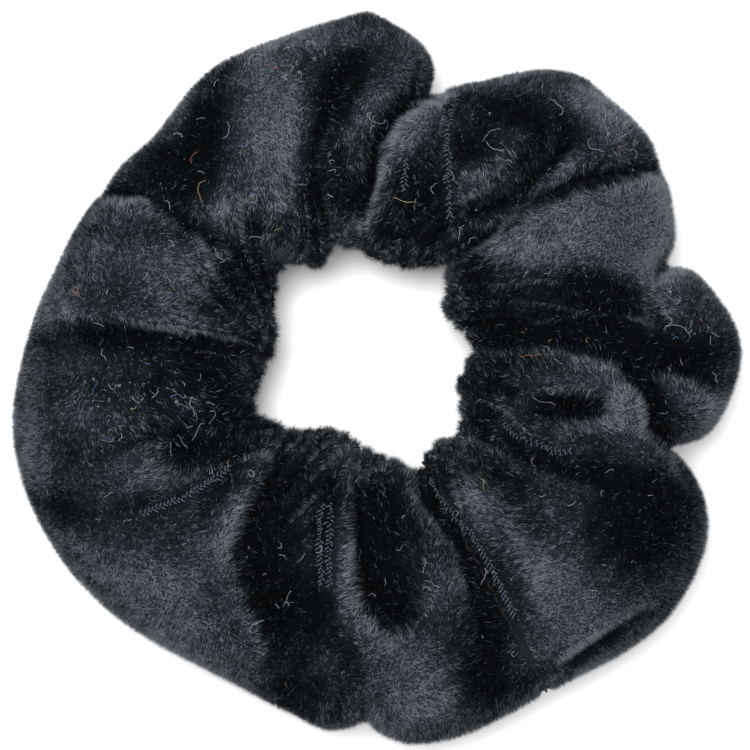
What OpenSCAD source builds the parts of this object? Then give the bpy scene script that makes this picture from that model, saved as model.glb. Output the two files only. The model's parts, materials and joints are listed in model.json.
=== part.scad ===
// Velvet scrunchie: a gathered fabric tube, sewn shut round a loop of flat elastic, lying flat.
// The ring is cut in two across the hole, so that the halves can be pulled apart along X, which is
// how the elastic stretches. The origin is under the middle of the ring, on the surface it lies on.

/* [Ring] */
// Width of the whole ring across X
ring_w = 115; // [100:1:130]
// Height of the ring as it lies
ring_h = 28; // [24:1:34]
// Mean diameter of the opening for the hair
hole_d = 34; // [28:1:38]
// Height of the lowest crease as a share of the fullest puff's
crease_share = 0.84; // [0.7:0.02:1]
// Gap between the two halves at rest
split_gap = 0.2; // [0.1:0.05:0.5]

/* [Cover] */
// Thickness of the velvet with its pile
cover_t = 1.8; // [1.4:0.1:2.4]
// How far the soft underside is pressed flat
pressed = 1.2; // [0.6:0.1:2]
// Space that the bunched fabric leaves free on each side of the elastic
tunnel_play = 2; // [1.5:0.25:2.5]
// Radius of the line that the long seam follows under the ring
long_seam_r = 35; // [32:1:38]

/* [Elastic] */
// Width of the flat elastic
elastic_w = 6; // [4:0.5:8]
// Thickness of the flat elastic
elastic_t = 1.1; // [0.8:0.1:1.4]
// Length over which the elastic's two ends are lapped and sewn
overlap = 12; // [8:1:14]

/* [Seams] */
// Thickness of the sewing thread
thread_d = 0.5; // [0.3:0.05:0.6]
// Bearing of the seam that closes the tube, from +X
closing_bearing = -62; // [-68:1:-45]
// Rows of stitches across the elastic's lap
lap_rows = 3; // [2:1:4]

/* [Hidden] */
$fn = 64;

stations = 44;       // steps along one half of the cover
around_skin = 28;    // points round a section of the cover
thread_turns = 40;   // steps round the closing seam
thread_sides = 6;
clear = 0.05;        // between a thread or a lapped end and what it lies on
past = 1;            // how far a cut runs past what it cuts

// Puffs and the creases between them: bearing from +X, and reach from the hole's centre
puffs = [[0, 59], [20, 51], [38, 56.5], [52, 55], [70, 44], [90, 53.5], [112, 51.5], [137, 47.5],
         [160, 50], [200, 58], [240, 55.5], [282, 62], [298, 60.5], [318, 62.5], [332, 60.5],
         [341, 53], [352, 57.5]];
// The uneven edge of the hole: bearing, and reach as a share of the hole's mean radius
hole_edge = [[0, 0.98], [30, 0.88], [48, 1.04], [68, 0.9], [100, 1.07], [118, 0.98], [130, 1.14],
             [170, 0.92], [210, 1.14], [248, 0.87], [300, 1.12], [322, 1.1], [342, 0.96]];

// Value at bearing a in a closed list of [bearing, value], eased from one entry to the next
function eased(list, a) =
    let (turn = (a % 360 + 360) % 360,
         i = max([for (j = [0:len(list) - 1]) if (list[j][0] <= turn) j]),
         p = list[i],
         q = i + 1 < len(list) ? list[i + 1] : [360, list[0][1]],
         s = (turn - p[0]) / (q[0] - p[0]))
    p[1] + (q[1] - p[1]) * (1 - cos(180 * s)) / 2;

bearings = [for (i = [0:2 * stations - 1]) -90 + 180 * i / stations];
plan_x = [for (a = bearings) eased(puffs, a) * cos(a)];
plan_y = [for (a = bearings) eased(puffs, a) * sin(a)];
plan_scale = ring_w / (max(plan_x) - min(plan_x));
hole_x = -plan_scale * (max(plan_x) + min(plan_x)) / 2;
hole_y = -plan_scale * (max(plan_y) + min(plan_y)) / 2;
reaches = [for (p = puffs) p[1]];
fullest = max(reaches);
leanest = min(reaches);
widest_hole = hole_d / 2 * max([for (p = hole_edge) p[1]]);

function outer_r(a) = plan_scale * eased(puffs, a);
function inner_r(a) = hole_d / 2 * eased(hole_edge, a);
function height(a) =
    ring_h * (crease_share
              + (1 - crease_share) * (eased(puffs, a) - leanest) / (fullest - leanest));

// Point v of the section at bearing a, inset from the skin, with its lowest point at height low
function skin_point(a, v, inset, low) =
    let (near = inner_r(a) + inset,
         far = outer_r(a) - inset,
         high = height(a) - inset,
         r = (near + far) / 2 + (far - near) / 2 * cos(v))
    [r * cos(a), r * sin(a), (low + high) / 2 + (high - low) / 2 * sin(v)];

// Faces of a tube of rows rings of sides points, joined into a loop or closed at both ends
function tube_faces(rows, sides, loop) = concat(
    [for (i = [0:rows - (loop ? 1 : 2)], j = [0:sides - 1])
        let (k = (i + 1) % rows, m = (j + 1) % sides)
        each [[i * sides + j, k * sides + j, k * sides + m],
              [i * sides + j, k * sides + m, i * sides + m]]],
    loop ? [] : [[for (j = [0:sides - 1]) j],
                 [for (j = [sides - 1:-1:0]) (rows - 1) * sides + j]]);

// Moves what is made round the hole's centre to its place in one half, side -1 or 1
module in_half(side) translate([hole_x + side * split_gap / 2, hole_y, 0]) children();

// Bearing at which the half on this side starts; each half turns 180 degrees from there
function start(side) = side > 0 ? -90 : 90;

// Half a ring whose section is the 2-D child
module half_ring(side) rotate(start(side)) rotate_extrude(angle = 180) children();

// The skin of one half, dipping below the surface that it is pressed against
module skin(side) {
    points = [for (i = [0:stations], j = [0:around_skin - 1])
        skin_point(start(side) + 180 * i / stations, -360 * j / around_skin, 0, -pressed)];
    polyhedron(points, tube_faces(stations + 1, around_skin, false), 4);
}

// Loop of thread of radius r round the cover at the closing seam, sunk into the pile
module seam_loop(r) {
    out = [cos(closing_bearing), sin(closing_bearing), 0];
    along = [-sin(closing_bearing), cos(closing_bearing), 0];
    points = [for (i = [0:thread_turns - 1])
        let (v = 360 * i / thread_turns,
             p = skin_point(closing_bearing, v, thread_d, thread_d),
             way = out * cos(v) + [0, 0, sin(v)])
        for (j = [0:thread_sides - 1])
            let (w = 360 * j / thread_sides)
            p + r * (way * cos(w) + along * sin(w))];
    polyhedron(points, tube_faces(thread_turns, thread_sides, true), 4);
}

elastic_r = widest_hole + cover_t + tunnel_play + elastic_t / 2;
elastic_z = ring_h * 0.45;
long_seam_z = cover_t + thread_d;
lap_turn = overlap / elastic_r * 180 / PI;
lap_from = closing_bearing - lap_turn / 2;
lap_to = closing_bearing + lap_turn / 2;
step_turn = 5;       // turn over which the outer end steps off the band
lap_points = 40;     // points along the outer end
row_turn = lap_turn / (lap_rows + 1);
stitches = 4;        // needle holes in a row
stitch = elastic_w / (stitches + 0.5);

// Section of the tunnel that the elastic runs in: a slot with round ends
module tunnel_section() {
    half_w = tunnel_play + elastic_t;
    translate([elastic_r + elastic_t / 2, elastic_z]) {
        square([2 * half_w, elastic_w], center = true);
        for (end = [-1, 1]) translate([0, end * elastic_w / 2]) circle(half_w);
    }
}

module band_section()
    translate([elastic_r, elastic_z]) square([elastic_t, elastic_w], center = true);

// The needle thread's section and the bobbin thread's, one over the other
module long_seam_section(r)
    for (row = [0, 1])
        translate([long_seam_r, long_seam_z + row * (thread_d + 3 * clear)]) circle(r);

module cover_half(side) color([0.05, 0.05, 0.055]) in_half(side) difference() {
    skin(side);
    translate([-ring_w, -ring_w, -past - pressed])
        cube([2 * ring_w, 2 * ring_w, past + pressed]);
    half_ring(side) tunnel_section();
    half_ring(side) long_seam_section(thread_d / 2 + clear);
    if (side > 0) seam_loop(thread_d / 2 + clear);
}

// Radius of the outer end's inner face: it follows the band, then steps out onto the lap
function lapped_r(a) =
    let (s = min(max((a - (lap_from - step_turn)) / (step_turn - 1), 0), 1))
    elastic_r - elastic_t / 2 + (elastic_t + clear) * (1 - cos(180 * s)) / 2;

// Puts something at row i, hole k of the lap's stitches, with X pointing out through the lap
module at_stitch(i, k)
    rotate(lap_from + row_turn * (i + 1))
    translate([elastic_r + elastic_t / 2, 0, elastic_z + stitch * (k - (stitches - 1) / 2)])
    children();

module leg(r, length) rotate([0, 90, 0]) cylinder(h = length, r = r, center = true);

module elastic_left() color([0.12, 0.12, 0.12]) in_half(-1) half_ring(-1) band_section();

module elastic_right() color([0.12, 0.12, 0.12]) in_half(1) difference() {
    union() {
        rotate(lap_from) rotate_extrude(angle = 90 - lap_from) band_section();
        ends = [for (i = [0:lap_points]) -90 + (lap_to + 90) * i / lap_points];
        inner_face = [for (a = ends) lapped_r(a) * [cos(a), sin(a)]];
        outer_face = [for (a = ends) (lapped_r(a) + elastic_t) * [cos(a), sin(a)]];
        translate([0, 0, elastic_z - elastic_w / 2]) linear_extrude(elastic_w)
            polygon(concat(inner_face, [for (i = [lap_points:-1:0]) outer_face[i]]));
    }
    for (i = [0:lap_rows - 1], k = [0:stitches - 1])
        at_stitch(i, k) leg(thread_d / 2 + clear, 3 * elastic_t + 2 * past);
}

module long_seam(side) color([0.1, 0.1, 0.1]) in_half(side)
    half_ring(side) long_seam_section(thread_d / 2);

module closing_seam() color([0.1, 0.1, 0.1]) in_half(1) seam_loop(thread_d / 2);

// Each row is one thread that weaves in and out through the lapped ends
module elastic_lap_stitches() color([0.1, 0.1, 0.1]) in_half(1) {
    reach = elastic_t + clear + thread_d / 2;
    taut = 0.9;      // a stitch pulled over the elastic is a little thinner than the thread
    for (i = [0:lap_rows - 1]) {
        for (k = [0:stitches - 1]) at_stitch(i, k) leg(thread_d / 2, 2 * reach + thread_d);
        for (k = [0:stitches - 2]) at_stitch(i, k)
            translate([(k % 2 == 0 ? 1 : -1) * reach, 0, 0])
                cylinder(h = stitch, r = taut * thread_d / 2);
    }
}

cover_half(-1);  // velvet_cover_left
cover_half(1);  // velvet_cover_right
elastic_left();
elastic_right();
long_seam(-1);  // long_seam_left
long_seam(1);  // long_seam_right
closing_seam();
elastic_lap_stitches();
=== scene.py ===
"""A black velvet scrunchie lying flat: gathered pile fabric over a sewn loop of elastic."""

import json
import math

import bpy
import numpy as np
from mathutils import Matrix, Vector
from mathutils.bvhtree import BVHTree


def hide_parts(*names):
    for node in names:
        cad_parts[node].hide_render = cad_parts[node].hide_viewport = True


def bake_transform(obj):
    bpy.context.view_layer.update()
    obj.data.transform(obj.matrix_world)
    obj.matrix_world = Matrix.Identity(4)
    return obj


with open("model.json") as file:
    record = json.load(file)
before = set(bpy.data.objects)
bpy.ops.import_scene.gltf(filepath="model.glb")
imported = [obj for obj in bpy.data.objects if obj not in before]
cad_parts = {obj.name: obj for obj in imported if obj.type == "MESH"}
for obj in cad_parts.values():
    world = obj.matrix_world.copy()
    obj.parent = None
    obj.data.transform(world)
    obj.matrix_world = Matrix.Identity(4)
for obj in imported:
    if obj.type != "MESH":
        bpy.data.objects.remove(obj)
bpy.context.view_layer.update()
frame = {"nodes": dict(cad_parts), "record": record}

MM = 0.001
rng = np.random.default_rng(7)

# ---------------------------------------------------------------- what the frame gives

HOLE = np.array(frame["record"]["mounts"][1]["pos_m"][:2]) / MM
HEIGHT = 28.0
RAY_START = 0.1  # m from the hole's centre, outside the ring
MISSED_OUT, MISSED_BACK = 0.017, 0.045  # m, taken as a ray's length if it meets no face


def outline(bearings, height_share):
    """Inner and outer reach of the CAD cover from the hole's centre, in mm, at each bearing."""
    trees = [
        BVHTree.FromObject(frame["nodes"][n], bpy.context.evaluated_depsgraph_get())
        for n in ("velvet_cover_left", "velvet_cover_right")
    ]
    z = height_share * HEIGHT * MM
    near, far = [], []
    for a in bearings:
        way = Vector((math.cos(a), math.sin(a), 0))
        hole = Vector((HOLE[0] * MM, HOLE[1] * MM, z))
        out = [t.ray_cast(hole, way)[3] for t in trees]
        back = [t.ray_cast(hole + way * RAY_START, -way)[3] for t in trees]
        near.append(min((d for d in out if d is not None), default=MISSED_OUT))
        far.append(RAY_START - min((d for d in back if d is not None), default=MISSED_BACK))
    return np.array(near) / MM, np.array(far) / MM


def periodic_smooth(values, radius):
    """A closed row of values, each averaged with its neighbours."""
    k = np.exp(-np.linspace(-2, 2, 2 * radius + 1) ** 2)
    k /= k.sum()
    wrapped = np.concatenate([values[-radius:], values, values[:radius]])
    return np.convolve(wrapped, k, "valid")


# ---------------------------------------------------------------- the gathered tube

ROUND, ACROSS = 540, 150  # points along the ring and round the tube
FULLNESS = 0.97  # height of the plain tube, as a share of HEIGHT
FLOOR_GAP = 0.4  # mm between the skin and the floor
CREASE = 0.4  # mm, how round the bottom of a fold is

# Folds: points in mm, depth, width of the steep side, width of the long side, lip height, lean,
# side of the lip (1 is left of the path), and how much of the fold carries on over the outline
FOLDS = [
    # between the top puff and the upper right one
    ([(12.5, 49), (8, 43.5), (3.5, 40), (1, 35.5), (0, 31), (-1, 27), (-5, 22.5)],
     6.0, 1.4, 3.5, 1.4, 1.2, 1, 1.0),
    # left edge of the top puff
    ([(-4, 49), (-6.5, 43), (-9, 36.5), (-9, 30), (-7.5, 22.5)],
     3.5, 2.2, 5.0, 1.2, 0.5, 1, 0.1),
    # across the upper right puff
    ([(12, 26.5), (18, 26.5), (23, 29.5), (28, 33.5), (31.5, 37.5)],
     3.0, 2.0, 3.5, 0.8, 0.5, -1, 0),
    # under the upper right puff
    ([(11.5, 18.5), (17, 21), (24, 25.5), (29.5, 28.5), (36, 30.5), (42, 32), (47, 34)],
     4.5, 1.0, 3.6, 1.2, 1.2, -1, 0.35),
    # right puff, upper side
    ([(48.5, 19.5), (44.5, 15.5), (43.5, 12), (45, 7.5)],
     4.0, 1.6, 3.0, 1.0, 0.6, 1, 1.0),
    # long fold right of the hole
    ([(13, 5), (20, 4.8), (27, 4.6), (34, 3.5), (40.5, 1.8), (48, 0.2), (54, -1)],
     3.5, 1.8, 6.5, 1.4, 0.8, -1, 0.2),
    # edge of the pocket's lip, out to the notch
    ([(36, 0), (40, -2), (42, -5.4), (42.4, -8.5), (48.5, -13)],
     5.0, 1.2, 3.2, 1.8, 1.0, -1, 1.0),
    # over the lower right puff
    ([(13, -8), (19, -10.5), (25, -13.5), (31, -15.5), (38, -17)],
     2.4, 2.4, 4.0, 0.8, 0.4, -1, 0.2),
    # near the lower right edge
    ([(28, -46), (33, -42), (39, -37.5), (43, -34.5)],
     1.4, 1.2, 1.8, 0.5, 0.1, 1, 0),
    # from the notch in the hole's edge
    ([(6.4, -12), (7, -18), (9, -21.5), (12, -26), (13.5, -31), (15, -36), (16, -42), (16.5, -48)],
     4.6, 1.4, 3.4, 1.2, 0.7, -1, 0),
    # deep valley with the narrow puff's lip over it
    ([(-4, -15), (-4, -22.5), (-3.6, -29), (-2, -35), (1, -39), (3.5, -42)],
     5.5, 0.9, 5.5, 1.6, 1.3, -1, 0),
    # right edge of the lower left puff
    ([(-14.5, -9), (-17.5, -15.5), (-20.5, -21), (-22, -26.5), (-20.8, -33), (-18, -39.5), (-17, -46)],
     5.0, 0.9, 5.5, 1.4, 1.3, -1, 0),
    # short wrinkle inside that edge
    ([(-23.5, -32), (-22, -37), (-20.5, -40.5)],
     1.2, 0.8, 1.4, 0.4, 0.2, 1, 0),
    # between the left puffs
    ([(-50, 9.3), (-43, 8.9), (-35, 8), (-27, 6.8), (-18, 5)],
     3.0, 1.0, 3.2, 1.4, 1.2, 1, 0.1),
    # upper left
    ([(-46, 29.8), (-41, 29), (-36, 28), (-31, 24.5), (-26, 21.5), (-19, 17.5)],
     2.6, 2.0, 3.5, 1.0, 0.6, -1, 0.25),
    # low left
    ([(-18, -6), (-24, -7.5), (-30, -8), (-38, -10.5), (-45, -13.5)],
     1.6, 2.0, 3.0, 0.8, 0.4, 1, 0),
]

# Pits, as centre, radii, turn in degrees and depth
PITS = [
    (30.5, -4.8, 6.0, 2.9, -3, 7.0),
    (-30.5, -11.5, 3.6, 3.8, 0, 4.0),
    (-19.5, 24.5, 2.0, 2.6, 30, 1.5),
    (33, 11.5, 11, 6, 10, 2.0),
]

# Puffs and ridges raised above the rest, in the same form
SWELLS = [
    (21, 36, 3.0, 12, -48, 1.6),
    (34, -24, 16, 14, 0, 3.0),
    (-34, -28, 17, 12, -35, 2.5),
    (6, -48, 9, 9, 0, 1.2),
    (-8, -30, 4, 20, 0, 2.0),
    (38, 24, 12, 6, 8, 1.6),
    (48, 6, 8, 8, 0, 1.5),
    (20, 40, 13, 9, 10, 2.0),
    (-20, 36, 12, 14, 30, 1.5),
    (-38, 18, 14, 8, 10, 1.2),
    (-42, -2, 12, 10, 0, 1.0),
    (3, 46, 6, 8, 0, 1.0),
]


def between(a, b, c, d, s):
    """The place at share s of the way from b to c on a smooth curve through a, b, c and d."""
    square, cube = 2 * a - 5 * b + 4 * c - d, 3 * b - a - 3 * c + d
    return 0.5 * (2 * b + (c - a) * s + square * s**2 + cube * s**3)


def curve(points, n=60):
    """n points along a smooth curve through a few."""
    p = np.array(points, float)
    p = np.vstack([2 * p[0] - p[1], p, 2 * p[-1] - p[-2]])
    t = np.linspace(0, len(points) - 1 - 1e-6, n)
    i = t.astype(int)
    s = (t - i)[:, None]
    return between(p[i], p[i + 1], p[i + 2], p[i + 3], s)


def from_curve(xy, path):
    """Signed distance of each plan point from a path, its share along it, and the unit way off it."""
    d2 = ((xy[:, None, :] - path[None]) ** 2).sum(2)
    k = d2.argmin(1)
    tangent = np.gradient(path, axis=0)
    tangent /= np.linalg.norm(tangent, axis=1)[:, None]
    off = xy - path[k]
    normal = np.stack([-tangent[k, 1], tangent[k, 0]], 1)
    side = np.sign((off * normal).sum(1))
    return side * np.sqrt(d2[np.arange(len(xy)), k]), k / (len(path) - 1), normal


def smoothstep(x):
    """0 below 0, 1 above 1, and an even S between."""
    x = np.clip(x, 0, 1)
    return x * x * (3 - 2 * x)


def faded(t):
    """How much of a fold is left at share t along it, since it fades out at both ends."""
    return smoothstep(t / 0.2 + 0.2) * smoothstep((1 - t) / 0.25 + 0.1)


def fold(xy, spec, upper):
    """Rise along the surface normal, and shift in plan, that one fold gives each point.

    upper is 1 for points on top of the tube and 0 for those at its sides and below."""
    points, depth, steep, long, lip, lean, side, over_edge = spec
    d, t, normal = from_curve(xy, curve(points))
    d = d * side
    near = np.exp(-(np.sqrt(d * d + CREASE * CREASE) - CREASE) / steep)
    far = np.exp(-((np.abs(d) / long) ** 1.4))
    valley = np.where(d > 0, near, far)
    crest = np.exp(-(((d - 2.2 * steep) / (2.2 * steep)) ** 2))
    here = faded(t) * (over_edge + (1 - over_edge) * upper)
    rise = here * (lip * crest - depth * valley)
    lips = np.exp(-(((d - 1.2 * steep) / (1.3 * steep)) ** 2)) * (d > -0.5 * steep)
    shift = (-side * lean * here * lips)[:, None] * normal
    return rise, shift


def blob(xy, spec):
    """An oval bump of height 1 in plan."""
    x, y, rx, ry, turn = spec[:5]
    c, s = math.cos(math.radians(turn)), math.sin(math.radians(turn))
    q = xy - (x, y)
    u = (q[:, 0] * c + q[:, 1] * s) / rx
    v = (-q[:, 0] * s + q[:, 1] * c) / ry
    return np.exp(-((u * u + v * v) ** 1.3))


# Where the hole's edge bulges inwards, or pulls back into a corner if negative: bearing and half
# width in degrees, and reach in mm
EDGE = [
    (134, 7, -1.4), (121, 7, 0.8), (108, 6, -1.2), (85, 12, 1.0), (49, 8, -1.6), (28, 10, 1.0),
    (8, 6, -0.8), (-15, 11, 1.0), (-40, 7, -1.0), (-53, 5, 0.8), (-67, 6, -1.6), (-88, 9, 0.8),
    (-109, 9, 1.2), (-130, 8, 0.6), (-155, 9, -1.4), (175, 12, 0.8),
]

# Notches in the outer edge, in the same form
NOTCHES = [
    (72.5, 3.5, 2.2), (-17.5, 3.5, 3.2), (17.5, 3, 0.5),
    (80, 4, -0.5), (143, 7, -1.3), (172, 7, -0.8),
]


def reaches(bearings):
    """Inner and outer reach of the tube at each bearing, with the bumps of both edges."""
    coarse = np.linspace(0, 2 * np.pi, 120, endpoint=False)
    near, far = (
        np.interp(bearings, coarse, periodic_smooth(reach, 2), period=2 * np.pi)
        for reach in outline(coarse, 0.5)
    )
    for edge, bumps in ((near, EDGE), (far, NOTCHES)):
        for bearing, half_width, reach in bumps:
            turn = np.degrees(np.angle(np.exp(1j * (bearings - math.radians(bearing)))))
            edge -= reach * np.exp(-((turn / half_width) ** 2))
    return near, far


def relief(xy, upper):
    """Rise along the normal, and shift in plan, from all the folds, pits and swells."""
    rise = np.zeros(len(xy))
    shift = np.zeros((len(xy), 2))
    for spec in FOLDS:
        fold_rise, fold_shift = fold(xy, spec, upper)
        rise += fold_rise
        shift += fold_shift
    for spec in PITS:
        rise -= spec[5] * blob(xy, spec)
    for spec in SWELLS:
        rise += spec[5] * blob(xy, spec)
    return rise, shift


def tube():
    """The outer skin as a grid of points in mm: ROUND rings of ACROSS points."""
    a = np.arange(ROUND) * 2 * np.pi / ROUND
    v = np.arange(ACROSS) * 2 * np.pi / ACROSS
    near, far = reaches(a)
    middle, half = (near + far) / 2, (far - near) / 2
    r = middle[:, None] + half[:, None] * np.cos(v)
    z = HEIGHT / 2 * (1 + FULLNESS * np.sin(v))[None] + 0 * r
    p = np.stack([HOLE[0] + r * np.cos(a)[:, None], HOLE[1] + r * np.sin(a)[:, None], z], 2)
    n = grid_normals(p)
    xy = p[..., :2].reshape(-1, 2)
    upper = np.broadcast_to(smoothstep(np.sin(v) / 0.6 - 0.1)[None], (ROUND, ACROSS)).ravel()
    rise, shift = relief(xy, upper)
    rise = rise.reshape(ROUND, ACROSS)
    below = np.where(np.sin(v) < 0, 1 + 0.5 * np.sin(v), 1.0)[None]
    p = p + n * (rise * below)[..., None]
    p[..., :2] += shift.reshape(ROUND, ACROSS, 2) * smoothstep(np.sin(v) + 0.3)[None, :, None]
    eased = FLOOR_GAP + np.exp(np.minimum(p[..., 2] - FLOOR_GAP - 1, 0))
    p[..., 2] = np.where(p[..., 2] < FLOOR_GAP + 1, eased, p[..., 2])
    return p


def grid_normals(p):
    """Outward unit normals of a closed grid."""
    du = np.roll(p, -1, 0) - np.roll(p, 1, 0)
    dv = np.roll(p, -1, 1) - np.roll(p, 1, 1)
    n = np.cross(du, dv)
    return n / np.linalg.norm(n, axis=2, keepdims=True)


def add_mesh(name, points, faces):
    """A smooth-shaded mesh object from points in mm."""
    mesh = bpy.data.meshes.new(name)
    mesh.from_pydata((points * MM).tolist(), [], faces)
    mesh.polygons.foreach_set("use_smooth", np.ones(len(mesh.polygons), bool))
    obj = bpy.data.objects.new(name, mesh)
    bpy.context.scene.collection.objects.link(obj)
    return obj


def tube_faces(rows, cols, joined, first=0):
    """Faces of a tube of rows rings of cols points, joined into a loop or capped at its ends."""
    i, j = np.meshgrid(np.arange(rows if joined else rows - 1), np.arange(cols), indexing="ij")
    k, m = (i + 1) % rows, (j + 1) % cols
    quads = np.stack([i * cols + j, k * cols + j, k * cols + m, i * cols + m], 2)
    faces = (quads.reshape(-1, 4) + first).tolist()
    if not joined:
        last = first + (rows - 1) * cols
        faces.append([first + c for c in range(cols)])
        faces.append([last + c for c in reversed(range(cols))])
    return faces


def grid_mesh(name, p):
    """A closed quad mesh from a grid of points in mm."""
    return add_mesh(name, p.reshape(-1, 3), tube_faces(*p.shape[:2], joined=True))


def walled_mesh(name, p, wall):
    """The closed grid p with a second skin a wall's thickness inside it, so that it is hollow."""
    inner = p - wall * grid_normals(p)
    rows, cols = p.shape[:2]
    faces = tube_faces(rows, cols, True)
    faces += [f[::-1] for f in tube_faces(rows, cols, True, rows * cols)]
    return add_mesh(name, np.concatenate([p.reshape(-1, 3), inner.reshape(-1, 3)]), faces)


def rings(path, up, radius, sides, joined):
    """Rings of points round a path in mm; up points away from what the path lies on."""
    if joined:
        way = np.roll(path, -1, 0) - np.roll(path, 1, 0)
    else:
        way = np.gradient(path, axis=0)
    across = unit(np.cross(unit(way), up))
    lift = np.cross(across, unit(way))
    turn = np.arange(sides) * 2 * np.pi / sides
    size = np.broadcast_to(radius, len(path))[:, None, None]
    c, s = np.cos(turn)[None, :, None], np.sin(turn)[None, :, None]
    spoke = c * across[:, None] + s * lift[:, None]
    return path[:, None] + size * spoke


def threads(name, paths, radius, sides, joined=False):
    """One mesh of round threads along paths; each path is (points, up), both (n, 3)."""
    points, faces, first = [], [], 0
    for path, up in paths:
        ring = rings(path, up, radius, sides, joined)
        faces += tube_faces(len(path), sides, joined, first)
        points.append(ring.reshape(-1, 3))
        first += len(points[-1])
    return add_mesh(name, np.concatenate(points), faces)


def unit(v):
    """Vectors scaled to length 1."""
    return v / np.linalg.norm(v, axis=-1, keepdims=True)


def resampled(p, count, axis):
    """A closed grid with count points along one axis, on a smooth curve through the old ones."""
    n = p.shape[axis]
    t = np.arange(count) * n / count
    i = t.astype(int)
    s = (t - i).reshape([-1 if k == axis else 1 for k in range(p.ndim)])
    a, b, c, d = (np.take(p, (i + k) % n, axis) for k in (-1, 0, 1, 2))
    return between(a, b, c, d, s)


SIM_ROUND, SIM_ACROSS = 176, 56
SETTLE_FRAMES = 20
SPARE_CLOTH = 0.012  # how much longer than the gathered shape the cloth is, each way
BENDING = 8.0
HOLD = 0.8  # how firmly the cloth keeps to the gathered shape


def settled(p):
    """The gathered tube once its spare cloth has buckled into small folds, by cloth simulation."""
    start = resampled(resampled(p, SIM_ROUND, 0), SIM_ACROSS, 1)
    obj = grid_mesh("cloth", start)
    hold = obj.vertex_groups.new(name="hold")
    hold.add(range(len(obj.data.vertices)), HOLD, "REPLACE")
    cloth = obj.modifiers.new("cloth", "CLOTH")
    c = cloth.settings
    c.quality = 5
    c.mass = 0.00002
    c.air_damping = 4
    c.tension_stiffness = c.compression_stiffness = 12
    c.shear_stiffness = 4
    c.bending_stiffness = BENDING
    c.vertex_group_mass = "hold"
    c.pin_stiffness = 1.5
    c.shrink_min = -SPARE_CLOTH
    c.effector_weights.gravity = 0
    cloth.collision_settings.use_collision = False
    cloth.collision_settings.use_self_collision = True
    cloth.collision_settings.self_distance_min = 0.0006
    scene = bpy.context.scene
    cloth.point_cache.frame_end = SETTLE_FRAMES
    for f in range(1, SETTLE_FRAMES + 1):
        scene.frame_set(f)
    mesh = obj.evaluated_get(bpy.context.evaluated_depsgraph_get()).to_mesh()
    q = np.empty(len(mesh.vertices) * 3)
    mesh.vertices.foreach_get("co", q)
    scene.frame_set(1)
    bpy.data.objects.remove(obj)
    moved = q.reshape(SIM_ROUND, SIM_ACROSS, 3) / MM - start
    return p + resampled(resampled(moved, ROUND, 0), ACROSS, 1)


PLEATS = 31
PLEAT_DEPTH = 3.3
GATHERED_FROM, GATHERED_TO = 20, 52  # mm from the hole's centre, fully pleated and not at all


def pleated(p):
    """The tube with the small pleats that its elastic gathers it into: deep beside the elastic and
    under the ring, fading out towards the outer edge and over the top."""
    reach = np.linalg.norm(p[..., :2] - HOLE, axis=2)
    bearing = np.arctan2(p[..., 1] - HOLE[1], p[..., 0] - HOLE[0])
    n = grid_normals(p)
    hidden = 0.05 + 0.95 * smoothstep((-0.05 - n[..., 2]) / 0.7)
    inward = smoothstep((GATHERED_TO - reach) / (GATHERED_TO - GATHERED_FROM))
    depth = PLEAT_DEPTH * inward * hidden
    circle = np.stack([np.cos(bearing), np.sin(bearing), reach / 60], -1)
    phase = PLEATS * bearing + 2.2 * noise(circle, 1.2, 11)
    return p - (depth * (0.5 + 0.5 * np.cos(phase)))[..., None] * n


# ---------------------------------------------------------------- the nap

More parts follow.
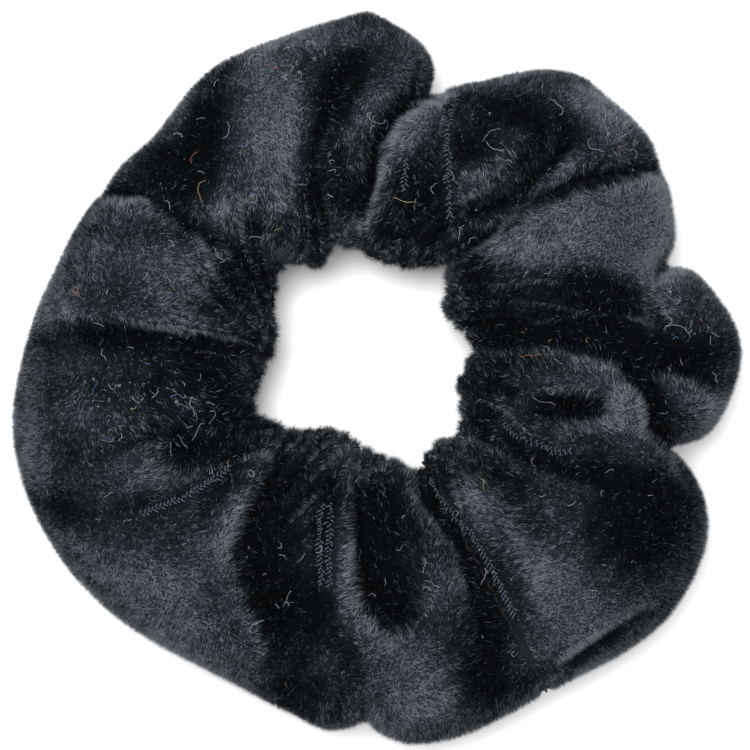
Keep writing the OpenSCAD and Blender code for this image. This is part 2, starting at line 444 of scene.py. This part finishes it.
# Where the pile is brushed: centre and radii in mm, turn in degrees, and lightness, from -1 where it
# stands, painted black as shade, to 1 where it lies over, painted grey as sheen; it also tilts the
# fibres
NAP_AND_PAINTED_LIGHT = [
    # top and upper left
    (-17, 40, 5.4, 14, 5, 0.9), (-36, 19, 15, 5, -5, 0.7), (-30, 12.5, 9.5, 4, 0, 0.5),
    (-30, 34, 6, 7.5, -35, -0.8), (-26, 40, 3, 8, 0, -0.6),
    (-7, 36.5, 2.2, 14, -8, -0.9), (-2.7, 51, 5, 5.5, 0, -0.5), (-21, 16.5, 4.5, 4.5, 0, -0.8),
    (-19, 25, 2.6, 2, 30, -0.8), (3, 47, 7, 2.2, 52, 0.4), (-4, 38, 3.0, 1.2, 50, 0.4),
    # left
    (-36, 5.4, 17, 2.4, -5, -0.7), (-30, 0, 13, 5, 0, -0.45), (-54.5, -3.5, 2.6, 14, 0, 0.5),
    (-47.5, -21, 9.5, 3.2, -25, -0.7), (-36, -19.5, 8, 2, 10, -0.5), (-30, -11.4, 4.2, 3.8, 0, -1.2),
    (-37, -14, 5, 3, -20, 0.5), (-34, -34, 18, 7.5, -38, 0.9), (-22.7, -21, 2.2, 9.5, -22, 0.8),
    # below
    (-17.6, -27, 4, 11, 0, -1.2), (-12.3, -42, 4.5, 11, 0, -0.8), (-10.5, -22.5, 3, 8, 0, -0.4),
    (-5.3, -26, 1.3, 12, 0, 0.7), (-2.4, -39.5, 2.6, 6, 30, 0.9), (0.5, -29, 4, 10, 0, -1.2),
    (3, -36.5, 3, 3, 0, -0.9), (5.8, -47.5, 6.5, 8, 0, 0.95), (9.4, -30.5, 2.2, 7.2, 0, 0.8),
    (-1.9, -15.4, 3, 2.4, 0, 0.5), (17.3, -42, 3.2, 11, 8, -0.9), (16.8, -31, 2.4, 10, 25, -0.7),
    # lower right
    (25.3, -30.5, 15, 6, -56, 0.9), (29.3, -42, 6.5, 4, -20, 0.6), (42, -22, 9, 8, 0, -1.1),
    (34, -14.6, 11, 3, -8, -0.6), (15.5, -18, 4, 3, -40, 0.4),
    # right
    (30.2, -4.6, 5.6, 2.4, 0, -1.3), (46, -5, 4, 3.2, 0, -0.6), (39.2, -4.4, 2.8, 3, 20, 0.9),
    (35, -7.2, 6.5, 1.3, 0, 0.6), (31, -1, 5.6, 1.1, 0, 0.5), (49.3, -2.6, 4, 2, 0, 0.5),
    (34, 2.2, 11, 1.3, -12, 0.7), (39, 5.6, 14, 2.8, -8, -1.0), (52, 5.5, 5, 4, 0, -0.5),
    (48, 14, 4.5, 3.5, 0, 0.6), (42.4, 15, 1.4, 5.5, 5, 0.7), (23, 9.5, 7, 4, 0, -0.4),
    (35, 12.5, 8, 5, 0, -0.9), (34, 24, 13.5, 4.8, 12, 1.0), (43, 26, 3, 6.5, 0, 0.8),
    (23, 18.5, 6.5, 3.5, 30, 0.6),
    # upper right
    (35, 42.5, 6, 4, -20, 0.8), (16.5, 32, 6.5, 2, 40, 0.8), (21.5, 37.5, 2.5, 2, 0, 0.6),
    (27, 30, 7, 1.3, 38, 0.7), (20, 42, 8, 3.5, 0, -0.7), (29.5, 38, 4, 4, 0, -0.6),
    (7.7, 30, 5, 6.5, 0, -0.6), (17.3, 26.7, 5.6, 1.6, 20, -0.9), (34, 30.4, 10, 1.3, 14, -1.1),
    (5.8, 37.8, 8.3, 1.5, 53, 1.0), (-2.4, 24.6, 2.6, 1.6, 0, 0.6),
    # smaller painted light and dark marks, sheen and shade, all the way round
    (-9, 53.5, 8, 2.5, 5, 0.6), (-13.5, 36, 2.2, 10, 0, 0.7), (-4.5, 44, 1.8, 7, -20, -0.7),
    (-4.5, 28, 2.2, 4, 0, -0.6), (-24, 26, 3, 4, 0, 0.9), (-37, 22.5, 9, 2, 0, -0.6),
    (-26.5, 12, 3.5, 3.5, 0, -0.6), (-22, -9.5, 6, 4.5, 0, -0.9), (-37, -12, 3, 2.5, 0, -0.5),
    (-50, 13, 3, 4, 0, 0.4), (-44, -5, 4, 2.5, 0, 0.4), (-31, -3, 3, 2, 0, 0.3),
    (-6, -22, 2.4, 7, 0, -0.8), (0, -37.5, 3.5, 2.5, 0, 0.6), (-8.5, -43.5, 2, 3, 0, 0.4),
    (8.2, -25, 3.6, 5, 0, -1.0), (20.5, -15, 4, 5, 20, -0.7), (21, -30, 2.2, 8, 22, -0.9),
    (14, -44, 2.2, 7, 5, -0.5), (32, -36, 6, 4, -40, 0.4), (24, 3.2, 7, 2, 0, -0.9),
    (37, 2.6, 5, 2, -10, -0.9), (15, 16, 2.4, 4, 0, -0.8), (14, 37, 4, 3, 0, -0.5),
    (23, 38, 2.5, 3, 0, -0.5), (4, 22.5, 4, 1.8, -10, -0.6), (40.5, 20.5, 5, 6, 0, 0.8),
    (50, -4.5, 5, 2.6, 0, 0.6), (37.5, -5, 2.5, 2, 0, 0.5), (28, 44, 8, 2.4, -12, 0.5),
    (37, 36, 4, 3, 0, 0.4), (27, 15, 4, 3, 0, -0.4),
    (-4, 52.5, 7, 3, 0, 0.6), (-16, 47, 5, 4, 20, 0.4), (-32, 40, 3, 5, -40, 0.4),
    (-28, 22, 5, 2.4, 0, -0.5), (-26.5, 30, 3, 3, 0, -0.5), (-22, -16, 5, 4, 0, -0.7),
    (-7.5, -28, 2.6, 8, 0, -0.5), (-4, -41, 2.4, 5, 10, -0.5), (3, -39, 2, 4, 0, 0.4),
    (22, 16, 4, 3, 0, -0.6), (37, 20, 6, 5, 0, 0.5), (42, 14, 2.5, 5, 0, 0.6),
    (34, 42, 5, 3, -20, 0.5), (53, 6, 3, 5, 0, 0.4), (-52, -13, 3, 5, 0, 0.5),
    (32, -35, 6, 4, -40, 0.4), (25, -23, 2.4, 5, 30, -0.6), (46, -4, 4, 3, 0, 0.4),
    (39, 2, 6, 2, -25, -0.9), (43.5, -5, 2, 5, 10, -1.0), (18.5, -1, 4, 3, 0, -0.7),
    (25, -46, 7, 1.6, 25, -0.5), (-50, 10, 4, 4, 0, 0.3), (-36, 4.5, 5, 2, 0, 0.3),
    (52, -1, 3.5, 2, 0, -0.6), (30, 4, 7, 1.6, -5, -0.8), (42, -3, 2, 6, 20, -0.8),
    (11, -27, 2, 6, 10, -0.8), (20.5, -25.5, 2, 3, 0, 0.4), (36, -40.5, 4, 1.5, 42, -0.5),
    (20, 34, 6, 2, 40, -0.5), (25, 22, 4, 2, 10, -0.5), (4, 43, 1.6, 6, -38, -0.7),
    (-4, 45, 1.6, 4, -20, -0.5), (2, 33, 3, 3, 0, -0.5),
    (15, 35, 4, 2.5, 0, -0.5), (28, 29, 4, 1.6, 20, -0.6), (39, 23, 5, 4, 0, 0.5),
    (-17, 27, 3, 3, 0, 0.5), (34, -42, 5, 1.5, 42, -0.7), (30, -4.8, 4.6, 1.8, 0, -1.0),
]


def noise(xyz, scale, seed, octaves=3):
    """Smooth random values of about -1 to 1 at points in mm, from sums of waves."""
    r = np.random.default_rng(seed)
    total = np.zeros(xyz.shape[:-1])
    for octave in range(octaves):
        for _ in range(10):
            way = r.normal(size=3)
            way *= 2**octave * 2 * np.pi / (scale * np.linalg.norm(way))
            total += np.sin(xyz @ way + r.uniform(0, 2 * np.pi)) / 2**octave
    return total / 4.0


def fold_painted_light(xy, spec):
    """Painted light at a fold: a painted highlight where its lip catches the light, and painted shade
    on the pile beside it in the valley.
    """
    points, depth, steep, long, *_, side, _ = spec
    d, t, _ = from_curve(xy, curve(points))
    d = d * side
    lip = 0.55 * np.exp(-(((d - 1.4) / 1.5) ** 2)) * smoothstep(d + 0.2)
    valley = 0.9 * np.exp(-((d / (0.6 * long + 0.5)) ** 2)) * smoothstep(0.6 - d)
    return min(depth / 4, 1) * faded(t) * (lip - valley)


def tone_with_painted_light(p, n):
    """How grey the pile is painted at each point: the brushed patches above with their painted sheen
    and shade, painted highlights and shade at the folds, painted shade near the hole, painted sheen at
    the rim, and chance elsewhere.
    """
    light = -0.2 + 0.25 * noise(p, 16, 3) + 0.15 * noise(p, 4, 4)
    # painted shade: darker towards the hole, where the ring shades the pile
    light -= 0.35 * smoothstep((30 - np.linalg.norm(p[..., :2] - HOLE, axis=-1)) / 9)
    flat = p[..., :2].reshape(-1, 2)
    painted_patches = sum(spec[5] * blob(flat, spec) for spec in NAP_AND_PAINTED_LIGHT)
    painted_patches += sum(fold_painted_light(flat, spec) for spec in FOLDS)
    light = light + painted_patches.reshape(light.shape) * smoothstep(n[..., 2] / 0.5 + 0.6)
    # painted sheen: lighter at the rim, where the skin turns away from the view
    painted_rim_sheen = smoothstep(1.1 - np.abs(n[..., 2]) / 0.6)
    return np.clip(light + 0.45 * painted_rim_sheen, -1, 1)


PILE_LENGTH = 1.25
PILE_WIDTH = 0.075
ROOT_DEPTH = 0.1
FIBRES = 800_000
SECTORS = 5  # pieces that the pile is made in, each a part of the way round
PAINTED_LIGHT_SHADES = (0.002, 0.005, 0.018, 0.075, 0.2)  # base colours, painted light: black for standing pile as painted shade, to grey for lying pile as painted sheen
GLOSS = (0.03, 0.05, 0.12, 0.3, 0.5)


def on_grid(grid, u, v):
    """Values of a closed grid at places u, v counted in its rows and columns."""
    i, j = u.astype(int), v.astype(int)
    s, t = (u - i)[:, None], (v - j)[:, None]
    k, m = (i + 1) % grid.shape[0], (j + 1) % grid.shape[1]
    return ((1 - s) * ((1 - t) * grid[i, j] + t * grid[i, m])
            + s * ((1 - t) * grid[k, j] + t * grid[k, m]))


def triangle_mesh(name, corners, materials, slots):
    """A mesh of loose triangles: corners is (n, 3, 3) in mm, slots the material of each."""
    n = len(corners)
    mesh = bpy.data.meshes.new(name)
    mesh.vertices.add(3 * n)
    mesh.vertices.foreach_set("co", (corners * MM).ravel())
    mesh.loops.add(3 * n)
    mesh.loops.foreach_set("vertex_index", np.arange(3 * n, dtype=np.int32))
    mesh.polygons.add(n)
    mesh.polygons.foreach_set("loop_start", np.arange(0, 3 * n, 3, dtype=np.int32))
    mesh.polygons.foreach_set("material_index", slots.astype(np.int32))
    for m in materials:
        mesh.materials.append(m)
    mesh.update()
    obj = bpy.data.objects.new(name, mesh)
    bpy.context.scene.collection.objects.link(obj)
    return obj


# Rows of parted pile on top, where the fabric was sewn or creased: points in mm
TRACKS = [
    [(11.2, 43), (11.4, 37), (11, 31), (11.2, 25.4)],
    [(4.5, 34), (4.3, 29.6)],
    [(-8.3, -19.4), (-8.6, -25), (-8.3, -31.4)],
    [(-7.0, -19.4), (-7.3, -25), (-7.0, -31.4)],
    [(-36.3, -21), (-31.5, -19), (-27.5, -17), (-22.7, -13.8)],
    [(19.7, -7.4), (24.5, -9.8), (27.7, -10.9), (30, -11.4)],
    [(8.8, -15.4), (10, -18), (12, -21), (15, -24), (18, -29), (20, -33), (21.3, -36.2)],
]
PARTED = 0.55  # half width of the bare line along a track
PARTING = 1.3  # how far from a track the pile still leans off it
UNDER_SHARE = 0.35  # how dense the pile is underneath, where it isn't seen


def track_points(track, step):
    """Points along a track at about even steps."""
    xy = np.array(track, float)
    run = np.concatenate([[0], np.cumsum(np.linalg.norm(np.diff(xy, axis=0), axis=1))])
    t = np.arange(0, run[-1], step)
    return np.stack([np.interp(t, run, xy[:, k]) for k in (0, 1)], 1)


def on_top(p, n, xy):
    """Height and normal of the highest skin near each point xy."""
    top = n[..., 2] > 0.2
    pts, ups = p[top], n[top]
    found = []
    for x, y in xy:
        d = (pts[:, 0] - x) ** 2 + (pts[:, 1] - y) ** 2
        near = np.argpartition(d, 12)[:12]
        best = near[pts[near, 2] > pts[near, 2].max() - 1.5]
        found.append((np.append([x, y], pts[best, 2].mean()), unit(ups[best].mean(0))))
    return np.array([f[0] for f in found]), np.array([f[1] for f in found])


def away_from_tracks(root, lines):
    """Distance of each root from the nearest track, and the way that leads off it."""
    gap = np.full(len(root), 99.0)
    off = np.zeros((len(root), 3))
    for line in lines:
        low, high = line.min(0) - 2, line.max(0) + 2
        near = np.flatnonzero(np.all((root > low) & (root < high), 1))
        if len(near) == 0:
            continue
        apart = root[near, None] - line[None]
        d = np.linalg.norm(apart, axis=2)
        k = d.argmin(1)
        closer = d.min(1) < gap[near]
        rows = near[closer]
        gap[rows] = d.min(1)[closer]
        off[rows] = apart[closer, k[closer]]
    return gap, unit(off + 1e-6)


def scattered(weights, count):
    """Random places on the grid, counted in rows and columns, by the weights of its cells."""
    cell = rng.choice(weights.size, count, p=(weights / weights.sum()).ravel())
    u = cell // ACROSS + rng.random(count)
    v = cell % ACROSS + rng.random(count)
    return u % ROUND, v % ACROSS


def fibre_tone(painted_nap_tone, root):
    """Each fibre's tone: the nap's, with its painted sheen and shade, and chance, with a few fibres
    that catch the light as painted glints.
    """
    chance = 0.38 * rng.normal(size=len(root)) + 0.42 * noise(root, 0.9, 6, 1)
    glints = 1.3 * (rng.random(len(root)) < 0.04)
    return painted_nap_tone + chance + glints


def fibre_way(tone, root, up, along):
    """The way each fibre points: 8 degrees off the skin's normal where black, 42 where grey."""
    lie = np.radians(8 + 17 * (np.clip(tone, -1, 1) + 1))[:, None]
    swirl = np.pi / 2 + 0.9 * noise(root, 40, 5)[:, None]
    nap = np.cos(swirl) * along + np.sin(swirl) * np.cross(up, along)
    return unit(np.cos(lie) * up + np.sin(lie) * nap + 0.3 * rng.normal(size=root.shape))


def parted(way, root, lines):
    """The fibres' ways and lengths, once they lean off the lines and are short on them."""
    gap, off = away_from_tracks(root, lines)
    parting = np.exp(-((gap / PARTING) ** 2))[:, None]
    length = PILE_LENGTH * rng.uniform(0.7, 1.1, (len(root), 1))
    length = np.where(gap[:, None] < PARTED, 0.25 * length, length * (1 - 0.3 * parting))
    return unit(way + 1.2 * parting * off), length


def pile(p, materials, lines):
    """The velvet's fibres, as SECTORS pieces of thin blades that stand on the skin p.

    They part along lines, each an array of points in mm."""
    n = grid_normals(p)
    light = tone_with_painted_light(p, n)
    du, dv = np.roll(p, -1, 0) - p, np.roll(p, -1, 1) - p
    area = np.linalg.norm(np.cross(du, dv), axis=2) * np.where(n[..., 2] > -0.3, 1, UNDER_SHARE)
    count = FIBRES
    u, v = scattered(area, count)
    root = on_grid(p, u, v)
    up = unit(on_grid(n, u, v))
    along = unit(on_grid(du, u, v))
    tone = fibre_tone(on_grid(light[..., None], u, v)[:, 0], root)
    way, length = parted(fibre_way(tone, root, up, along), root, lines)
    side = unit(np.cross(way, rng.normal(size=(count, 3)))) * PILE_WIDTH / 2
    tip = root + way * length
    tip[:, 2] = np.maximum(tip[:, 2], 0.05)
    root = root - ROOT_DEPTH * up
    corners = np.stack([root - side, root + side, tip], 1)
    # painted light: each fibre's base colour follows its tone, so sheen, highlights and shade are
    # painted into the fibres
    shade = np.interp(tone, (-1, 0.8), (0, len(PAINTED_LIGHT_SHADES) - 1)) + rng.uniform(-0.5, 0.5, count)
    shade = np.clip(np.round(shade), 0, len(PAINTED_LIGHT_SHADES) - 1)
    sector = (u * SECTORS / ROUND).astype(int)
    return [triangle_mesh(f"pile_{k + 1}", corners[sector == k], materials, shade[sector == k])
            for k in range(SECTORS)]


# ---------------------------------------------------------------- materials


def principled(name, **values):
    """A material with these values on its Principled node, and that node."""
    m = bpy.data.materials.new(name)
    m.use_nodes = True
    p = m.node_tree.nodes["Principled BSDF"]
    for key, value in values.items():
        p.inputs[key.replace("_", " ")].default_value = value
    return m, p


def pattern(m, kind, scale):
    """A texture node of this kind on the object's own coordinates."""
    place = m.node_tree.nodes.new("ShaderNodeTexCoord")
    texture = m.node_tree.nodes.new(kind)
    texture.inputs["Scale"].default_value = scale
    m.node_tree.links.new(place.outputs["Object"], texture.inputs["Vector"])
    return texture


def textured(name, kind, socket, scale, low, high, **values):
    """A Principled material with one value driven by a texture, from low to high."""
    m, p = principled(name, **values)
    links = m.node_tree.links
    span = m.node_tree.nodes.new("ShaderNodeMapRange")
    span.inputs["To Min"].default_value = low
    span.inputs["To Max"].default_value = high
    links.new(pattern(m, kind, scale).outputs[0], span.inputs["Value"])
    links.new(span.outputs["Result"], p.inputs[socket])
    return m


def cool(shade):
    """The black dye's blue tone on a shade: strong in the dark shades, nearly grey in the light ones,
    which are painted sheen.
    """
    tint = np.interp(shade, (0, 0.12), (0.28, 0.11))
    return (shade * (1 - tint), shade, shade * (1 + tint), 1)


def pile_material(name, shade, gloss):
    """One shade of the pile, its base colour painted sheen where light and painted shade where dark.
    """
    return textured(name, "ShaderNodeTexNoise", "Diffuse Roughness", 900, 0.2, 1,
                    Base_Color=cool(shade), Roughness=0.55, Specular_IOR_Level=gloss)


def skin_material():
    """Woven ground and the pile's roots, with the pile's painted light: greyer where the nap lies over
    and at painted sheen and highlights, darker at painted shade.
    """
    m, p = principled("velvet_skin", Roughness=0.9, Specular_IOR_Level=0.03,
                      Sheen_Weight=0.02, Sheen_Roughness=0.4)
    nodes, links = m.node_tree.nodes, m.node_tree.links
    # painted light: the nap attribute carries the pile's painted sheen and shade
    nap = nodes.new("ShaderNodeAttribute")
    nap.attribute_name = "nap"
    ramp = nodes.new("ShaderNodeValToRGB")
    for stop, shade in zip(ramp.color_ramp.elements, (PAINTED_LIGHT_SHADES[0], PAINTED_LIGHT_SHADES[2]), strict=True):
        stop.color = cool(shade)
    links.new(nap.outputs["Fac"], ramp.inputs["Fac"])
    links.new(ramp.outputs["Color"], p.inputs["Base Color"])
    bump = nodes.new("ShaderNodeBump")
    bump.inputs["Strength"].default_value = 0.6
    bump.inputs["Distance"].default_value = 0.0003
    links.new(pattern(m, "ShaderNodeTexNoise", 1500).outputs[0], bump.inputs["Height"])
    links.new(bump.outputs["Normal"], p.inputs["Normal"])
    return m


# ---------------------------------------------------------------- the velvet tube

WALL = 0.5
shape = tube()
shape = settled(shape)
shape = pleated(shape)
normals = grid_normals(shape)
skin = walled_mesh("velvet_skin", shape, WALL)
# the skin's base colour follows the pile's tone, painted sheen and shade included
nap = skin.data.attributes.new("nap", "FLOAT", "POINT")
painted_skin_tone = (tone_with_painted_light(shape, normals).ravel() + 1) / 2
nap.data.foreach_set("value", np.concatenate([painted_skin_tone, np.zeros(len(painted_skin_tone))]))
skin.data.materials.append(skin_material())

# ---------------------------------------------------------------- seams

CLOSING_BEARING = math.radians(-62)
SEAM_REACH = 35  # mm from the hole's centre to the long seam
THREAD = 0.35
STITCH = 2.4
TUFT_STEP = 0.62


def section_at(p, bearing):
    """The number of the grid's ring of points that is nearest a bearing from the hole's centre."""
    middle = p.mean(1)[:, :2] - HOLE
    turn = np.angle(np.exp(1j * (np.arctan2(middle[:, 1], middle[:, 0]) - bearing)))
    return np.abs(turn).argmin()


def spaced(path, up, step):
    """A closed path resampled to about even steps, its normals, and the run to each point."""
    run = np.concatenate([[0], np.cumsum(np.linalg.norm(np.roll(path, -1, 0) - path, axis=1))])
    t = np.arange(0, run[-1], run[-1] / round(run[-1] / step))
    path, up = (np.vstack([q, q[:1]]) for q in (path, up))
    grown = [np.stack([np.interp(t, run, q[:, k]) for k in range(3)], 1) for q in (path, up)]
    return grown[0], unit(grown[1]), t


def closing_thread(p, n):
    """Stitches that close the tube: the thread runs on the skin, and dips in at every stitch."""
    row = section_at(p, CLOSING_BEARING)
    path, up, t = spaced(p[row], n[row], 0.25)
    lift = 0.1 + 0.3 * np.cos(2 * np.pi * t / STITCH)
    return path + lift[:, None] * up, up


def long_seam(p, n):
    """Two locked threads along the underside, inside the tube where its edges meet."""
    reach = np.linalg.norm(p[..., :2] - HOLE, axis=2)
    below = np.where(n[..., 2] < -0.2, np.abs(reach - SEAM_REACH), 99)
    column = below.argmin(1)
    rows = np.arange(len(p))
    line = np.stack([p[rows, column, 0], p[rows, column, 1], p[rows, column, 2]], 1)
    line = np.column_stack([periodic_smooth(line[:, k], 12) for k in range(3)])
    up = np.zeros_like(line)
    up[:, 2] = 1
    path, up, t = spaced(line, up, 0.4)
    path[:, 2] += WALL + 0.45
    wave = 0.28 * np.sin(2 * np.pi * t / STITCH)
    out = unit(np.column_stack([path[:, :2] - HOLE, np.zeros(len(path))]))
    return [(path + (side * 0.3 * out + side * wave[:, None] * up), up) for side in (-1, 1)]


thread_look = textured("sewing_thread", "ShaderNodeTexNoise", "Base Color", 2500, 0.001, 0.008,
                       Roughness=0.6, Specular_IOR_Level=0.15)
closing = threads("closing_seam_thread", [closing_thread(shape, normals)], THREAD / 2, 8, True)
closing.data.materials.append(thread_look)
under = threads("long_seam_thread", long_seam(shape, normals), THREAD / 2, 8, True)
under.data.materials.append(thread_look)


def braid(xy):
    """Tufts that lean off both sides of a track, as (points, up) paths."""
    at, up = on_top(shape, normals, track_points(xy, TUFT_STEP))
    if len(at) < 3:
        return []
    at[:, 2] = np.convolve(np.pad(at[:, 2], 2, "edge"), np.ones(5) / 5, "valid")
    way = unit(np.gradient(at, axis=0))
    side = np.cross(way, up)
    paths = []
    for k in range(len(at)):
        for s in (-1, 1):
            uneven = rng.uniform(0.5, 1.3)
            foot = at[k] + (0.5 if s > 0 else 0) * TUFT_STEP * way[k] + 0.35 * up[k]
            foot = foot + 0.1 * rng.normal() * side[k]
            tip = foot + uneven * (s * 0.6 * side[k] + 0.45 * way[k]) + 0.4 * up[k]
            mid = (foot + tip) / 2 + 0.2 * up[k]
            paths.append((np.array([foot, mid, tip]), np.repeat(up[k : k + 1], 3, 0)))
    return paths


row = section_at(shape, CLOSING_BEARING)
lines = [shape[row]] + [on_top(shape, normals, track_points(t, 0.3))[0] for t in TRACKS]
shades = [pile_material(f"pile_shade_{k + 1}", *look) for k, look in enumerate(zip(PAINTED_LIGHT_SHADES, GLOSS))]
fibres = pile(shape, shades, lines)
tufts = threads("seam_tufts", [path for t in TRACKS for path in braid(t)], (0.12, 0.13, 0.04), 4)
# the tufts' lighter base colour is painted sheen of pile lying over the track
tufts.data.materials.append(pile_material("tuft", 0.055, 0.12))

# ---------------------------------------------------------------- elastic

ELASTIC_R, ELASTIC_Z = 23.73, 12.6
ELASTIC_W, ELASTIC_T = 6, 1.1
LAP = 12 / ELASTIC_R  # angle over which its ends lie one over the other
RIBS = 8


def elastic_band():
    """A ribbed flat band, its ends lapped under the closing seam."""
    steps = 620
    t = np.linspace(0, 2 * np.pi + LAP, steps)
    out = smoothstep((t - 2 * np.pi + 0.09) / 0.07) * (ELASTIC_T + 0.05)
    t += CLOSING_BEARING - LAP / 2
    v = np.linspace(-0.5, 0.5, 6 * RIBS + 1)
    rib = ELASTIC_T / 2 * (0.78 + 0.22 * np.sqrt(np.abs(np.sin(np.pi * RIBS * (v + 0.5)))))
    weave = 1 + 0.08 * np.sin(2 * np.pi * np.arange(steps) / 5)[:, None]
    depth = np.concatenate([rib, -rib[::-1]])[None] * weave
    r = ELASTIC_R + out[:, None] + depth
    z = np.broadcast_to(np.concatenate([v, v[::-1]]) * ELASTIC_W + ELASTIC_Z, r.shape)
    p = np.stack([HOLE[0] + r * np.cos(t)[:, None], HOLE[1] + r * np.sin(t)[:, None], z], 2)
    return add_mesh("elastic_band", p.reshape(-1, 3), tube_faces(*p.shape[:2], joined=False))


def lap_stitches():
    """The CAD model's stitches through the lap, as a piece of their own."""
    node = frame["nodes"]["elastic_lap_stitches"]
    mesh = node.data.copy()
    mesh.transform(node.matrix_world)
    mesh.materials.clear()
    obj = bpy.data.objects.new("lap_stitch_thread", mesh)
    bpy.context.scene.collection.objects.link(obj)
    return obj


band = elastic_band()
stitches = lap_stitches()
stitches.data.materials.append(thread_look)
band.data.materials.append(textured("knitted_elastic", "ShaderNodeTexWave", "Base Color", 900,
                                    0.012, 0.06, Roughness=0.8, Specular_IOR_Level=0.2))

# ---------------------------------------------------------------- lint

LINT = 330
LINT_RADIUS = 0.024
CLUSTERED = 0.3  # share of the lint that lies in clusters round these places
LINT_PLACES = [(-14, 51), (-31, -3), (-40, -3), (37, 38), (48, 9)]
LINT_TONES = {"lint_pale": (0.34, 0.36, 0.4), "lint_blue": (0.12, 0.2, 0.35),
              "lint_red": (0.28, 0.12, 0.1), "lint_straw": (0.4, 0.34, 0.16)}


def lint_fibre():
    """One loose fibre that lies curled on the nap."""
    if rng.random() < CLUSTERED:
        x, y = LINT_PLACES[rng.integers(len(LINT_PLACES))] + rng.normal(size=2) * 3
    else:
        turn, reach = rng.uniform(0, 2 * np.pi), rng.uniform(24, 55)
        x, y = HOLE + reach * np.array([np.cos(turn), np.sin(turn)])
    length = 0.5 + rng.exponential(0.9)
    turns = np.cumsum(rng.normal(size=10) * 0.35) + np.linspace(0, rng.standard_t(2), 10)
    heading = rng.uniform(0, 2 * np.pi) + turns
    steps = np.column_stack([np.cos(heading), np.sin(heading)]) * length / 10
    xy = np.array([x, y]) + np.cumsum(steps, 0)
    at, up = on_top(shape, normals, xy)
    off = np.linalg.norm(at - at.mean(0), axis=1).max()
    if off > length or np.ptp(at[:, 2]) > 0.7 * length:
        return None
    return at + up * (PILE_LENGTH * rng.uniform(0.7, 0.95)), up


lint = []
made = [f for f in (lint_fibre() for _ in range(LINT)) if f]
for k, (name, tone) in enumerate(LINT_TONES.items()):
    pale = len(made) * 5 // 6
    share = made[:pale] if k == 0 else made[pale + k - 1 :: 3]
    piece = threads(name, share, LINT_RADIUS, 3)
    look = textured(name, "ShaderNodeTexNoise", "Diffuse Roughness", 700, 0.2, 1,
                    Base_Color=(*tone, 1))
    piece.data.materials.append(look)
    lint.append(piece)

# ---------------------------------------------------------------- transforms, and the CAD parts hidden

for o in (skin, *fibres, tufts, closing, under, band, stitches, *lint):
    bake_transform(o)
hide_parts("velvet_cover_left", "velvet_cover_right")
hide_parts("elastic_left", "elastic_right")
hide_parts("long_seam_left", "long_seam_right")
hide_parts("closing_seam")
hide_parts("elastic_lap_stitches")

# ---------------------------------------------------------------- stage


def area_light(name, place, size, power):
    """A round soft light that shines at the origin."""
    light = bpy.data.lights.new(name, "AREA")
    light.shape = "DISK"
    light.size = size
    light.energy = power
    lamp = bpy.data.objects.new(name, light)
    lamp.location = place
    lamp.rotation_euler = (-Vector(place)).to_track_quat("-Z", "Y").to_euler()
    bpy.context.scene.collection.objects.link(lamp)


bpy.ops.mesh.primitive_plane_add(size=4, location=(0, 0, 0))
floor = bpy.context.object
floor.name = "floor"
floor.data.materials.append(principled("floor", Base_Color=(0.9, 0.9, 0.9, 1), Roughness=0.8)[0])

world = bpy.data.worlds.new("world")
bpy.context.scene.world = world
world.use_nodes = True
world.node_tree.nodes["Background"].inputs["Color"].default_value = (1, 1, 1, 1)
world.node_tree.nodes["Background"].inputs["Strength"].default_value = 0.92
area_light("key", place=(-0.06, 0.09, 0.55), size=0.25, power=3.8)

camera = bpy.data.objects.new("camera", bpy.data.cameras.new("camera"))
camera.data.lens = 120
camera.data.sensor_width = 36
camera.location = (-0.0003, 0.0006, 0.414)
bpy.context.scene.collection.objects.link(camera)
bpy.context.scene.camera = camera
bpy.context.scene.view_settings.view_transform = "Standard"
